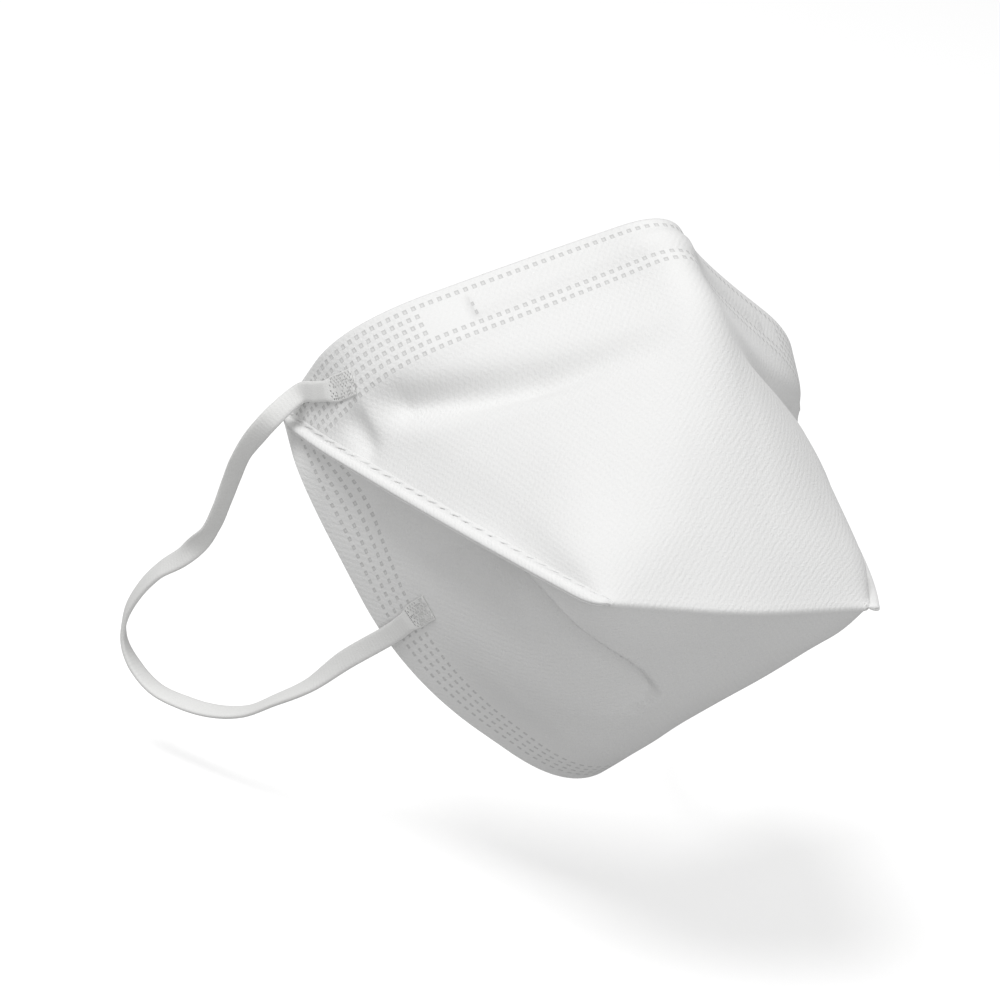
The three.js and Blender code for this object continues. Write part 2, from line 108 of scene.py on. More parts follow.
# The tuck in the lower panel's left side.
TUCK_FROM, TUCK_TO, TUCK_BOW = (-57, 30), (-4.5, 39.5), -13.5
TUCK_DEPTH, TUCK_DROP, TUCK_REACH = 11.0, 4.0, 60.0
CREASE_FALL = 1.5  # how fast a crease dies away on both sides of its line
SEAM_REST = 4.0  # all relief dies out over this much cloth next to a seam

WIRE_UP, WIRE_HALF_LENGTH, WIRE_HALF_WIDTH = 92.9, 47.0, 2.25
RIDGE_HEIGHT, RIDGE_EASE = 0.7, 1.1
BAND_EDGE, BAND_LAYER, BAND_STEP = 84.4, 0.3, 0.5  # the band's one more layer starts here


def half_width(up):
    return HALF_FOLD + SIDE_SLOPE * up


def smoothstep(value):
    value = np.clip(value, 0, 1)
    return value * value * (3 - 2 * value)


def sections_at(table, share):
    """The rows of a table of sections at each share of the web's height, on cubics through every row."""
    at, values = table[:, 0], table[:, 1:]
    last = len(at) - 1
    before = np.maximum(np.arange(last + 1) - 1, 0)
    after = np.minimum(np.arange(last + 1) + 1, last)
    slopes = (values[after] - values[before]) / (at[after] - at[before])[:, None]
    k = np.clip(np.searchsorted(at, share, side="right") - 1, 0, last - 1)
    span = (at[k + 1] - at[k])[:, None]
    t = (share - at[k])[:, None] / span
    return ((2 * t**3 - 3 * t**2 + 1) * values[k] + (t**3 - 2 * t**2 + t) * span * slopes[k]
            + (3 * t**2 - 2 * t**3) * values[k + 1] + (t**3 - t**2) * span * slopes[k + 1])


def along_section(rows, share):
    """The point at a share of the way from the middle to the seam, along runs with rounded corners."""
    nothing = np.zeros(len(rows))
    crown = np.stack([nothing, rows[:, 0], rows[:, 1]], 1)
    shoulder, flank = rows[:, 2:5], rows[:, 5:8]
    seam = np.stack([rows[:, 8], rows[:, 9], nothing], 1)
    near = lambda corner, other: corner + CORNER_SOFTNESS * (other - corner)
    crown_end = near(crown, shoulder)
    middle = (crown + crown_end) / 2 * (0, 1, 1)
    bends = [
        (middle, (crown + crown_end) / 2, crown_end),
        (crown_end, None, near(shoulder, crown)),
        (near(shoulder, crown), shoulder, near(shoulder, flank)),
        (near(shoulder, flank), None, near(flank, shoulder)),
        (near(flank, shoulder), flank, near(flank, seam)),
        (near(flank, seam), None, seam),
    ]
    steps = np.linspace(0, 1, BEND_STEPS + 1)
    lengths = []
    for start, corner, end in bends:
        corner = (start + end) / 2 if corner is None else corner
        run = [(1 - s)**2 * start + 2 * s * (1 - s) * corner + s**2 * end for s in steps]
        lengths += [np.linalg.norm(b - a, axis=1) for a, b in zip(run, run[1:])]
    reached = np.cumsum(np.stack([nothing, *lengths], 1), axis=1)
    wanted = np.clip(share, 0, 1) * reached[:, -1]
    step = np.clip((reached <= wanted[:, None]).sum(1) - 1, 0, reached.shape[1] - 2)
    every = np.arange(len(rows))
    step_length = reached[every, step + 1] - reached[every, step]
    within = (wanted - reached[every, step]) / np.maximum(step_length, 1e-9)
    s = ((step % BEND_STEPS + np.clip(within, 0, 1)) / BEND_STEPS)[:, None]
    bend = step // BEND_STEPS
    starts = np.stack([b[0] for b in bends])[bend, every]
    ends = np.stack([b[2] for b in bends])[bend, every]
    corners = np.stack([(b[0] + b[2]) / 2 if b[1] is None else b[1] for b in bends])[bend, every]
    return (1 - s)**2 * starts + 2 * s * (1 - s) * corners + s**2 * ends


def smooth_web(table, share, up):
    """The web before it is creased. share is -1 at the left seam, 0 in the middle and 1 at the right seam."""
    point = along_section(sections_at(table, np.clip(up / WEB_HEIGHT, 0, 1)), np.abs(share))
    flare = 1 + RIGHT_FLARE * np.sin(math.pi * np.clip(up / WEB_HEIGHT, 0, 1) ** FLARE_BIAS)
    point[:, 0] *= np.where(share > 0, flare, np.sign(share))
    return point


def facings(surface, share, up):
    """Unit normals of a surface over (share, up): its across direction crossed with its up direction."""
    step_share, step_up = 0.006, 0.5
    across = surface(np.minimum(share + step_share, 1), up) - surface(np.maximum(share - step_share, -1), up)
    along = surface(share, np.minimum(up + step_up, WEB_HEIGHT)) - surface(share, np.maximum(up - step_up, 0))
    normal = np.cross(across, along)
    return normal / np.maximum(np.linalg.norm(normal, axis=1), 1e-9)[:, None]


def beside_line(start, end, bow, across, up):
    """Where flat points lie along a bowed line, how far off it, and whether on its rim side."""
    dx, dy = end[0] - start[0], end[1] - start[1]
    length = math.hypot(dx, dy)
    along = ((across - start[0]) * dx + (up - start[1]) * dy) / length**2
    t = np.clip(along, 0, 1)
    turn = -1 if dx < 0 else 1
    side_x, side_y = -dy / length * turn, dx / length * turn
    off_x = across - start[0] - dx * t - side_x * 4 * bow * t * (1 - t)
    off_y = up - start[1] - dy * t - side_y * 4 * bow * t * (1 - t)
    return along, t, np.hypot(off_x, off_y), off_x * side_x + off_y * side_y > 0


def crease_depth(panel, across, up):
    depth = np.zeros(len(up))
    for start, end, bow, deep, to_fold, to_rim, fade_in, fade_out in CREASES[panel]:
        for mirrored in (1, -1):
            along, _, distance, rimward = beside_line(start, end, bow, mirrored * across, up)
            reach = distance / np.where(rimward, to_rim, to_fold)
            fade = np.clip(along / fade_in, 0, 1) * np.clip((1 - along) / fade_out, 0, 1)
            depth += deep * np.exp(-CREASE_FALL * reach**2) * fade
    return depth


def tuck_depth(across, up):
    """The tuck drops off sharply at its line, and grows shallower and narrower towards its end."""
    along, t, distance, rimward = beside_line(TUCK_FROM, TUCK_TO, TUCK_BOW, across, up)
    left = np.maximum(1 - t, 0.03)
    drop = 1 - (1 - np.clip(distance / (TUCK_DROP * left**0.5), 0, 1)) ** 1.6
    back_out = 1 - smoothstep(distance / (TUCK_REACH * left**0.35))
    return np.where(rimward & (along <= 1), TUCK_DEPTH * left**0.6 * drop * back_out, 0)


def ridge_height(across, up):
    """How far the upper band stands out over the nose wire in its channel."""
    past = np.maximum(np.abs(across) - WIRE_HALF_LENGTH - RIDGE_EASE, 0)
    beside = np.maximum(np.abs(up - WIRE_UP) - WIRE_HALF_WIDTH, 0)
    return RIDGE_HEIGHT * smoothstep(1 - np.hypot(past, beside) / RIDGE_EASE)


LAYER_ROOM = 0.55  # half of what the web's two layers take up where they lie on each other


def web(panel, across, up):
    """Points of the finished cloth's outer face over the flat web, in millimetres."""
    table, outward = (UPPER_SECTIONS, 1) if panel == "upper" else (LOWER_SECTIONS, -1)
    across, up = np.asarray(across, float), np.asarray(up, float)
    share = across / half_width(up)
    shape = lambda s, u: smooth_web(table, s, u)
    point = shape(share, up)
    rise = -crease_depth(panel, across, up)
    if panel == "upper":
        rise += ridge_height(across, up) + BAND_LAYER * np.clip((up - BAND_EDGE) / BAND_STEP + 0.5, 0, 1)
    else:
        rise -= tuck_depth(across, up)
    rise *= np.clip((half_width(up) - np.abs(across)) / SEAM_REST, 0, 1)
    point += facings(shape, share, up) * (outward * rise)[:, None]
    point[:, 2] = outward * np.hypot(point[:, 2], LAYER_ROOM)
    return point


def web_facing(panel, across, up):
    outward = 1 if panel == "upper" else -1
    across, up = np.asarray(across, float), np.asarray(up, float)
    surface = lambda s, u: web(panel, s * half_width(u), u)
    return facings(surface, across / half_width(up), up) * outward


# ---------------------------------------------------------------- filter pouch: the web with its weld dots
# The flat web is cut out of a fine grid, its weld dots are marked on it, and it is folded round and given its
# thickness. Each dot is a small square where a toothed roller has pressed the cloth down and fused it. Its
# floor is greyer where the weld has made the cloth clear, and its slopes are darker still, which is painted
# shade in the hollow.
CELL = 1.055
UPPER_CELL, LOWER_CELL = 1.163, 0.956  # how far up the web a cell reaches on each panel
DOT_PITCH = 2 * CELL
GRID_CELLS = 213
SEAM_MARGIN, SEAM_CLEAR = 0.9, 2.4
WALL = 1.1
# At the nose the band's inner face stands further in, to cover the wire where it bends.
NOSE_COVER, NOSE_REACH, NOSE_MARGIN, NOSE_EASE = 0.65, 11.0, 0.9, 2.2
THICKEST = WALL + 2 * RIDGE_HEIGHT + NOSE_COVER
# The wall takes at most this share of the room between its outer face and the plane where the layers meet.
ROOM_TAKEN, LEAST_LEAN, FOLD_ROOM = 0.95, 0.3, 0.4
DOT_RIM, DOT_SLOPE, DOT_DEPTH = 0.03, 0.26, 0.13
LATTICE_SHIFT = 0.55
EAR_FIELD_START = 59.5
# A tick of two short weld marks, each inside one cell of the grid, stands over the left end of the wire.
# Next to it is a patch that is left plain.
TICK_ACROSS, TICK_HALF_WIDTH, TICK_SPANS = -48.1, 0.34, ((90.22, 91.24), (92.52, 93.54))
PLAIN_PATCH, PATCH_EASE = ((-60, -50), (87.5, 96)), 2.5
UV_SPAN = 250.0  # millimetres of flat cloth across the whole UV square
DOT_FLOOR_SHARE = 0.5  # a dot's floor takes this share of the weld grey and its slopes all of it; the slopes' extra darkness is painted shade
UPPER_DOT_ROWS = [n * UPPER_CELL for n in (84, 76, 74)]
EAR_DOT_ROWS = [n * UPPER_CELL for n in (82, 80, 78)]
LOWER_DOT_ROWS = [n * LOWER_CELL for n in (99, 96, 93, 90)]


def deselect_all():
    bpy.ops.object.select_all(action="DESELECT")


def only(piece):
    deselect_all()
    piece.select_set(True)
    bpy.context.view_layer.objects.active = piece


def select_faces(mesh, wanted):
    mesh.vertices.foreach_set("select", np.zeros(len(mesh.vertices), bool))
    mesh.edges.foreach_set("select", np.zeros(len(mesh.edges), bool))
    mesh.polygons.foreach_set("select", wanted)


def face_centres(mesh):
    centres = np.empty(3 * len(mesh.polygons))
    mesh.polygons.foreach_get("center", centres)
    return centres.reshape(-1, 3)


def vertex_places(mesh):
    places = np.empty(3 * len(mesh.vertices))
    mesh.vertices.foreach_get("co", places)
    return places.reshape(-1, 3)


def chosen_faces(mesh):
    chosen = np.empty(len(mesh.polygons), bool)
    mesh.polygons.foreach_get("select", chosen)
    return chosen


# The materials darken faces by this share: weld grey, with painted shade in the strap pits and on the weld
# dots' slopes.
def mark_melt_and_pit_shade(mesh, shares):
    mesh.attributes.new("melted", "FLOAT", "FACE").data.foreach_set("value", shares)


def lay_flat(mesh, layer, flat_places, middle):
    """Fills a UV map with places on the flat cloth, in millimetres from the middle of the map."""
    corners = np.empty(len(mesh.loops), int)
    mesh.loops.foreach_get("vertex_index", corners)
    layer.data.foreach_set("uv", (flat_places[corners, :2] / UV_SPAN + middle).ravel())


def edit_faces(piece, wanted):
    """Opens edit mode on a piece with only these faces selected."""
    only(piece)
    select_faces(piece.data, wanted)
    bpy.ops.object.mode_set(mode="EDIT")
    bpy.ops.mesh.select_mode(type="FACE")


deselect_all()
bpy.ops.mesh.primitive_grid_add(x_subdivisions=GRID_CELLS, y_subdivisions=GRID_CELLS, size=GRID_CELLS * CELL)
pouch = bpy.context.object
pouch.name = pouch.data.name = "filter_pouch_cloth"
bpy.ops.object.mode_set(mode="EDIT")
bpy.ops.mesh.select_all(action="SELECT")
bpy.ops.transform.translate(value=(LATTICE_SHIFT, 0, 0))
bpy.ops.mesh.bisect(plane_co=(0, 0, 0), plane_no=(0, 1, 0))
bpy.ops.object.mode_set(mode="OBJECT")
for panel_sign, cell in ((1, UPPER_CELL), (-1, LOWER_CELL)):
    edit_faces(pouch, face_centres(pouch.data)[:, 1] * panel_sign > 0)
    bpy.ops.transform.resize(value=(1, cell / CELL, 1), center_override=(0, 0, 0))
    bpy.ops.object.mode_set(mode="OBJECT")
bpy.ops.object.mode_set(mode="EDIT")
for side in (1, -1):
    bpy.ops.mesh.select_all(action="SELECT")
    bpy.ops.mesh.bisect(plane_co=(0, side * WEB_HEIGHT, 0), plane_no=(0, side, 0), clear_outer=True)
bpy.ops.object.mode_set(mode="OBJECT")
slant = math.hypot(1, SIDE_SLOPE)
for up_sign in (1, -1):
    for across_sign in (1, -1):
        edit_faces(pouch, face_centres(pouch.data)[:, 1] * up_sign > 0)
        bpy.ops.mesh.bisect(
            plane_co=(across_sign * (HALF_FOLD - SEAM_MARGIN * slant), 0, 0),
            plane_no=(across_sign, -up_sign * SIDE_SLOPE, 0), clear_outer=True)
        bpy.ops.object.mode_set(mode="OBJECT")

tick_cuts = [((TICK_ACROSS + edge, 0, 0), (1, 0, 0)) for edge in (-TICK_HALF_WIDTH, TICK_HALF_WIDTH)]
tick_cuts += [((0, edge, 0), (0, 1, 0)) for edge in TICK_SPANS[0] + TICK_SPANS[1]]
for through_point, normal in tick_cuts:
    centres = face_centres(pouch.data)
    near_across, near_up = np.abs(centres[:, 0] - TICK_ACROSS), np.abs(centres[:, 1] - WIRE_UP)
    edit_faces(pouch, (near_across < CELL) & (near_up < 3 * CELL))
    bpy.ops.mesh.bisect(plane_co=through_point, plane_no=normal)
    bpy.ops.object.mode_set(mode="OBJECT")

centres = face_centres(pouch.data)
across, up, is_upper = centres[:, 0], np.abs(centres[:, 1]), centres[:, 1] > 0


def in_rows(rows):
    return np.any([np.abs(up - row) < CELL / 4 for row in rows], axis=0)


on_pitch = np.abs((across - LATTICE_SHIFT + DOT_PITCH / 2) % DOT_PITCH - DOT_PITCH / 2) < CELL / 4
ear_dots = in_rows(EAR_DOT_ROWS) & (np.abs(across) > EAR_FIELD_START)
upper_dots = is_upper & on_pitch & (in_rows(UPPER_DOT_ROWS) | ear_dots)
lower_dots = ~is_upper & on_pitch & in_rows(LOWER_DOT_ROWS)
clear_of_seam = half_width(up) - np.abs(across) > SEAM_CLEAR
in_tick = np.any([(up > low) & (up < high) for low, high in TICK_SPANS], axis=0)
tick = is_upper & in_tick & (np.abs(across - TICK_ACROSS) < TICK_HALF_WIDTH)
dots = (upper_dots | lower_dots) & clear_of_seam | tick
pouch.data.attributes.new("weld_dot", "BOOLEAN", "FACE").data.foreach_set("value", dots)

flat = vertex_places(pouch.data)
lay_flat(pouch.data, pouch.data.uv_layers.active, flat, 0.5)

plain = np.ones(len(flat))
for n, (low, high) in enumerate(PLAIN_PATCH):
    plain *= np.clip(1 - np.maximum(low - flat[:, n], flat[:, n] - high) / PATCH_EASE, 0, 1)
pouch.data.attributes.new("plain", "FLOAT", "POINT").data.foreach_set("value", plain)

places = np.empty_like(flat)
for panel, half in (("upper", flat[:, 1] >= 0), ("lower", flat[:, 1] < 0)):
    places[half] = web(panel, flat[half, 0], np.abs(flat[half, 1]))
on_fold = np.abs(flat[:, 1]) < 1e-4
places[on_fold, 2] = 0
pouch.data.vertices.foreach_set("co", (places * MM).ravel())
pouch.data.update()

normals = np.empty(3 * len(pouch.data.vertices))
pouch.data.vertices.foreach_get("normal", normals)
lean = np.abs(normals.reshape(-1, 3)[:, 2])
room = np.where(on_fold, LAYER_ROOM + FOLD_ROOM, np.abs(places[:, 2]))
wall = WALL + 2 * np.where(flat[:, 1] > 0, ridge_height(flat[:, 0], np.abs(flat[:, 1])), 0)
beside_wire = np.abs(flat[:, 1] - WIRE_UP) - WIRE_HALF_WIDTH - NOSE_MARGIN
wall += NOSE_COVER * np.exp(-((flat[:, 0] / NOSE_REACH) ** 2)) * (1 - smoothstep(beside_wire / NOSE_EASE))
wall = np.minimum(wall, ROOM_TAKEN * room / np.maximum(lean, LEAST_LEAN))
thickness_group = pouch.vertex_groups.new(name="wall")
for index, value in enumerate(wall / THICKEST):
    thickness_group.add([index], float(value), "REPLACE")
solidify = pouch.modifiers.new("wall", "SOLIDIFY")
solidify.thickness = THICKEST * MM
solidify.offset = -1
solidify.vertex_group = "wall"
solidify.use_even_offset = False
only(pouch)
bpy.ops.object.modifier_apply(modifier="wall")
pouch.vertex_groups.clear()

dots = np.empty(len(pouch.data.polygons), bool)
pouch.data.attributes["weld_dot"].data.foreach_get("value", dots)
edit_faces(pouch, dots)
bpy.ops.mesh.inset(thickness=DOT_RIM * MM, use_individual=True)
bpy.ops.mesh.inset(thickness=DOT_SLOPE * MM, depth=-DOT_DEPTH * MM, use_individual=True)
bpy.ops.object.mode_set(mode="OBJECT")
in_dot = np.empty(len(pouch.data.polygons), bool)
pouch.data.attributes["weld_dot"].data.foreach_get("value", in_dot)
pouch.data.attributes.remove(pouch.data.attributes["weld_dot"])
# Dot floors get part of the weld grey and dot slopes all of it: the floors' grey is the weld, the slopes'
# extra is painted shade in the hollow.
mark_melt_and_pit_shade(pouch.data, np.where(chosen_faces(pouch.data), DOT_FLOOR_SHARE, in_dot).astype(float))

# ---------------------------------------------------------------- filter pouch: the welded side edges
# Down each side the two layers are pressed together along a row of short weld bars, and the cloth left
# outside the bars is a soft, rounded edge. The lower layer is cut a little wider, so both edges show.
BAR_PITCH, BAR_CELLS, CELLS_PER_PITCH = 4.4, 4, 6
EDGE_WIDTH = {"upper": 1.95, "lower": 2.1}
EDGE_TRIM, EDGE_TRIMMED = 6.0, 0.25
EDGE_START, EDGE_SHORT = 0.05, 0.2  # how far its ends are from the front fold and the rim
EDGE_THINNED, EDGE_CLOSED = 1.5, 0.5  # this near the front fold it thins, and comes level with the fold
EDGE_ROOT, ROOT_DEPTH = 1.5, 0.85  # how far inside the seam its hidden root stands, and how deep
# On the left the edge droops, and dies away into the front fold; on the right it stands out to its end.
EDGE_DROOP = {-1: math.radians(42), 1: 0.0}
EDGE_END = {-1: 7.0, 1: 0.9}
EDGE_EXTRA = {-1: 0.0, 1: 0.2}  # the share by which it widens close to the front fold
EXTRA_AT, EXTRA_REACH = 4.0, 14.0
BAR_SLANT = 0.7
BAR_RIM, BAR_SLOPE, BAR_DEPTH = 0.03, 0.2, 0.28
BAR_MELT = 0.7
# How each layer runs over the weld, as distance from the seam line and height. The first points lie on the
# panel, and their height is above its outer face. The others lie on the flat edge, and theirs is from the
# middle of its thickness.
ON_PANEL = ((-2.0, -0.35), (-1.8, 0.03), (-1.2, 0.1), (-0.5, 0.14))
ON_EDGE = ((0.0, 0.45), (0.14, 0.62), (0.32, 0.76), (0.52, 0.8), (0.72, 0.75), (0.88, 0.6), (0.97, 0.42),
           (1.0, 0.25), (0.97, 0.06), (0.5, 0.03), (0.0, 0.03))
BAR_FACE = 2  # the face along ON_PANEL that takes the weld bars


def seam_line(side, up):
    return smooth_web(UPPER_SECTIONS, np.full(len(up), float(side)), up) * (1, 1, 0)


def welded_edge(panel, side):
    """One layer's welded strip down one side, as a closed mesh of its own."""
    outward = 1 if panel == "upper" else -1
    seam_length = WEB_HEIGHT * slant
    count = int(seam_length / BAR_PITCH) * CELLS_PER_PITCH
    up = np.linspace(EDGE_START, WEB_HEIGHT - EDGE_SHORT, count + 1)
    steps = np.arange(count + 1)
    seam = seam_line(side, up)
    run = np.gradient(seam, axis=0)
    outwards = np.stack([run[:, 1], -run[:, 0], np.zeros(len(up))], 1) * side
    outwards /= np.linalg.norm(outwards, axis=1)[:, None]
    droop = EDGE_DROOP[side]
    drooping = outwards * math.cos(droop) - np.array([0, 0, math.sin(droop)])
    upright = outwards * math.sin(droop) + np.array([0, 0, math.cos(droop)])
    trim = EDGE_TRIMMED + (1 - EDGE_TRIMMED) * smoothstep((WEB_HEIGHT - up) / EDGE_TRIM)
    ending = np.sqrt(1 - (1 - np.clip(up / EDGE_END[side], 0, 1)) ** 2)
    trim *= ending * (1 + EDGE_EXTRA[side] * np.exp(-((up - EXTRA_AT) / EXTRA_REACH) ** 2))
    thinning = np.sqrt(1 - (1 - np.clip(up / EDGE_THINNED, 0.02, 1)) ** 2)
    slide = BAR_SLANT * (np.minimum(steps % CELLS_PER_PITCH, BAR_CELLS) / BAR_CELLS - 0.5)
    rows, flats = [], []
    for number, (distance, height) in enumerate(ON_PANEL):
        inside = -distance - (slide if number >= BAR_FACE else 0)
        across = side * (half_width(up) - inside * slant)
        point = web(panel, across, up) + web_facing(panel, across, up) * height
        point[:, 2] *= np.clip(up / EDGE_CLOSED, 0, 1)
        rows.append(point)
        flats.append((across, up))
    for reach, height in ON_EDGE:
        width = EDGE_WIDTH[panel] * trim
        point = seam + drooping * (reach * width)[:, None] + upright * (outward * height * thinning)[:, None]
        rows.append(point)
        flats.append((side * (half_width(up) + reach * width * slant), up))
    across = side * (half_width(up) - EDGE_ROOT * slant)
    rows.append(web(panel, across, up) - web_facing(panel, across, up) * ROOT_DEPTH)
    flats.append((across, up))
    points = np.stack(rows)
    ring = len(rows)
    vertices = (points * MM).reshape(-1, 3)
    number = lambda row, step: row % ring * (count + 1) + step
    faces = [(number(r, s), number(r, s + 1), number(r + 1, s + 1), number(r + 1, s))
             for r in range(ring) for s in range(count)]
    faces.append(tuple(number(r, 0) for r in range(ring)))
    faces.append(tuple(number(r, count) for r in reversed(range(ring))))
    if side * outward > 0:
        faces = [face[::-1] for face in faces]
    mesh = bpy.data.meshes.new(f"edge_{panel}_{side}")
    mesh.from_pydata(vertices.tolist(), [], faces)
    flat_place = np.stack([np.stack([a, outward * u], 1) for a, u in flats]).reshape(-1, 2)
    lay_flat(mesh, mesh.uv_layers.new(name=pouch.data.uv_layers.active.name), flat_place, 0.5)
    edge = bpy.data.objects.new(mesh.name, mesh)
    bpy.context.collection.objects.link(edge)
    bars = np.zeros(len(faces), bool)
    for step in range(count):
        bars[BAR_FACE * count + step] = step % CELLS_PER_PITCH < BAR_CELLS
    edit_faces(edge, bars)
    bpy.ops.mesh.inset(thickness=BAR_RIM * MM)
    bpy.ops.mesh.inset(thickness=BAR_SLOPE * MM, depth=-BAR_DEPTH * MM)
    bpy.ops.object.mode_set(mode="OBJECT")
    mark_melt_and_pit_shade(mesh, chosen_faces(mesh) * BAR_MELT)
    return edge


edges = [welded_edge(panel, side) for panel in ("upper", "lower") for side in (-1, 1)]
only(pouch)
for edge in edges:
    edge.select_set(True)
bpy.ops.object.join()
bpy.ops.object.shade_smooth()

# ---------------------------------------------------------------- filter pouch: its finish
# White spunbond cloth: matt, a little fluffy, embossed all over with small slanting dimples that carry a
# little painted shade, and greyer where a weld has fused it clear, with painted shade darker still on the
# weld dots' slopes.


def set_input(node, name, value):
    node.inputs[name].default_value = value


def new_material(name):
    material = bpy.data.materials.new(name)
    material.use_nodes = True
    nodes = material.node_tree.nodes
    return material, nodes, material.node_tree.links, nodes["Principled BSDF"]


def flat_millimetres(nodes, links):
    """A piece's place on its flat cloth or strap, in millimetres."""
    flat_map = nodes.new("ShaderNodeUVMap")
    in_mm = nodes.new("ShaderNodeVectorMath")
    in_mm.operation = "SCALE"
    set_input(in_mm, "Scale", UV_SPAN)
    links.new(flat_map.outputs["UV"], in_mm.inputs[0])
    return in_mm.outputs["Vector"]


def blended(nodes, links, factor, first, second):
    """A colour that goes from the first to the second. The first may be another node's colour."""
    blend = nodes.new("ShaderNodeMix")
    blend.data_type = "RGBA"
    links.new(factor, blend.inputs["Factor"])
    if isinstance(first, tuple):
        blend.inputs["A"].default_value = first
    else:
        links.new(first, blend.inputs["A"])
    blend.inputs["B"].default_value = second
    return blend.outputs["Result"]


# The bond points lie in slanting rows both ways: a row's points are this far apart across and up the web.
BOND_ACROSS, BOND_UP = 1.6, 2.2
ROWS_OTHER_WAY = 0.75  # how strong the rows of the second slant are, next to the first
PIT_WEIGHT, STREAK_WEIGHT = 0.42, 0.55


def fibre_group():
    """The cloth's relief over a flat place in millimetres: bond points in slanting rows, and fine fibres. Its
    Shade output is a random tone with painted shade at the bond points.
    """
    group = bpy.data.node_groups.new("spun_fibres", "ShaderNodeTree")
    group.interface.new_socket("Place", in_out="INPUT", socket_type="NodeSocketVector")
    group.interface.new_socket("Height", in_out="OUTPUT", socket_type="NodeSocketFloat")
    group.interface.new_socket("Shade", in_out="OUTPUT", socket_type="NodeSocketFloat")
    nodes, links = group.nodes, group.links
    start, end = nodes.new("NodeGroupInput"), nodes.new("NodeGroupOutput")

    def calculate(operation, *values):
        node = nodes.new("ShaderNodeMath")
        node.operation = operation
        for socket, value in zip(node.inputs, values):
            if isinstance(value, (int, float)):
                socket.default_value = value
            else:
                links.new(value, socket)
        return node.outputs["Value"]

    wander = nodes.new("ShaderNodeTexNoise")
    set_input(wander, "Scale", 0.5)
    set_input(wander, "Detail", 1.0)
    links.new(start.outputs["Place"], wander.inputs["Vector"])
    moved = nodes.new("ShaderNodeVectorMath")
    moved.operation = "MULTIPLY_ADD"
    moved.inputs[1].default_value = (0.7, 0.7, 0)
    links.new(wander.outputs["Color"], moved.inputs[0])
    links.new(start.outputs["Place"], moved.inputs[2])
    waves = []
    for slope in (-1, 1):
        phase = nodes.new("ShaderNodeVectorMath")
        phase.operation = "DOT_PRODUCT"
        phase.inputs[1].default_value = (
            slope * 2 * math.pi / BOND_ACROSS, 2 * math.pi / BOND_UP, 0)
        links.new(moved.outputs["Vector"], phase.inputs[0])
        waves.append(calculate("COSINE", phase.outputs["Value"]))
    both = calculate("MULTIPLY_ADD", waves[1], ROWS_OTHER_WAY, waves[0])
    points = nodes.new("ShaderNodeMapRange")
    points.interpolation_type = "SMOOTHSTEP"
    set_input(points, "From Min", -0.6)
    set_input(points, "From Max", 1.4)
    links.new(both, points.inputs["Value"])
    fluff = nodes.new("ShaderNodeTexNoise")
    set_input(fluff, "Scale", 2.2)
    set_input(fluff, "Detail", 4.0)
    set_input(fluff, "Roughness", 0.6)
    links.new(start.outputs["Place"], fluff.inputs["Vector"])
    uneven = calculate("MULTIPLY_ADD", fluff.outputs["Fac"], 1.0, 0.1)
    pressed = calculate("MULTIPLY", points.outputs["Result"], uneven)
    pits = calculate("MULTIPLY", pressed, PIT_WEIGHT)
    # Fibres laid at a slant near that of the rows, drawn out to about three times their width.
    along = nodes.new("ShaderNodeMapping")
    along.vector_type = "TEXTURE"
    along.inputs["Rotation"].default_value = (0, 0, math.radians(41))
    along.inputs["Scale"].default_value = (2.6, 0.8, 1)
    links.new(moved.outputs["Vector"], along.inputs["Vector"])
    streaks = nodes.new("ShaderNodeTexNoise")
    set_input(streaks, "Scale", 1.3)
    set_input(streaks, "Detail", 2.0)
    links.new(along.outputs["Vector"], streaks.inputs["Vector"])
    soft = calculate("MULTIPLY_ADD", streaks.outputs["Fac"], STREAK_WEIGHT, fluff.outputs["Fac"])
    links.new(calculate("SUBTRACT", soft, pits), end.inputs["Height"])
    # The Shade output is the fibres' random tone, made darker at the bond points as painted shade in their
    # dimples.
    links.new(calculate("MULTIPLY_ADD", pits, -0.4, fluff.outputs["Fac"]), end.inputs["Shade"])
    return group


SPUN_FIBRES = fibre_group()
cloth, nodes, links, finish = new_material("spunbond_white")
set_input(finish, "Roughness", 0.92)
set_input(finish, "Specular IOR Level", 0.25)
set_input(finish, "Sheen Weight", 0.15)
fibres = nodes.new("ShaderNodeGroup")
fibres.node_tree = SPUN_FIBRES
links.new(flat_millimetres(nodes, links), fibres.inputs["Place"])
bump = nodes.new("ShaderNodeBump")
set_input(bump, "Strength", 0.6)
set_input(bump, "Distance", 0.00026)
plain_here = nodes.new("ShaderNodeAttribute")
plain_here.attribute_name = "plain"
embossed = nodes.new("ShaderNodeMath")
embossed.operation = "MULTIPLY_ADD"
embossed.inputs[1].default_value = -0.8
embossed.inputs[2].default_value = 1.0
links.new(plain_here.outputs["Fac"], embossed.inputs[0])
relief = nodes.new("ShaderNodeMath")
relief.operation = "MULTIPLY"
links.new(fibres.outputs["Height"], relief.inputs[0])
links.new(embossed.outputs["Value"], relief.inputs[1])
links.new(relief.outputs["Value"], bump.inputs["Height"])
links.new(bump.outputs["Normal"], finish.inputs["Normal"])
shade = nodes.new("ShaderNodeMapRange")
set_input(shade, "From Min", 0.3)
set_input(shade, "From Max", 0.7)
set_input(shade, "To Min", 0.0)
set_input(shade, "To Max", 1.0)
links.new(fibres.outputs["Shade"], shade.inputs["Value"])
# The fibres' random tone, with painted shade at the bond points.
fluff_and_pit_shade = blended(nodes, links, shade.outputs["Result"], (0.84, 0.84, 0.835, 1), (0.88, 0.88, 0.875, 1))
melt_and_pit_shade_node = nodes.new("ShaderNodeAttribute")
melt_and_pit_shade_node.attribute_name = "melted"
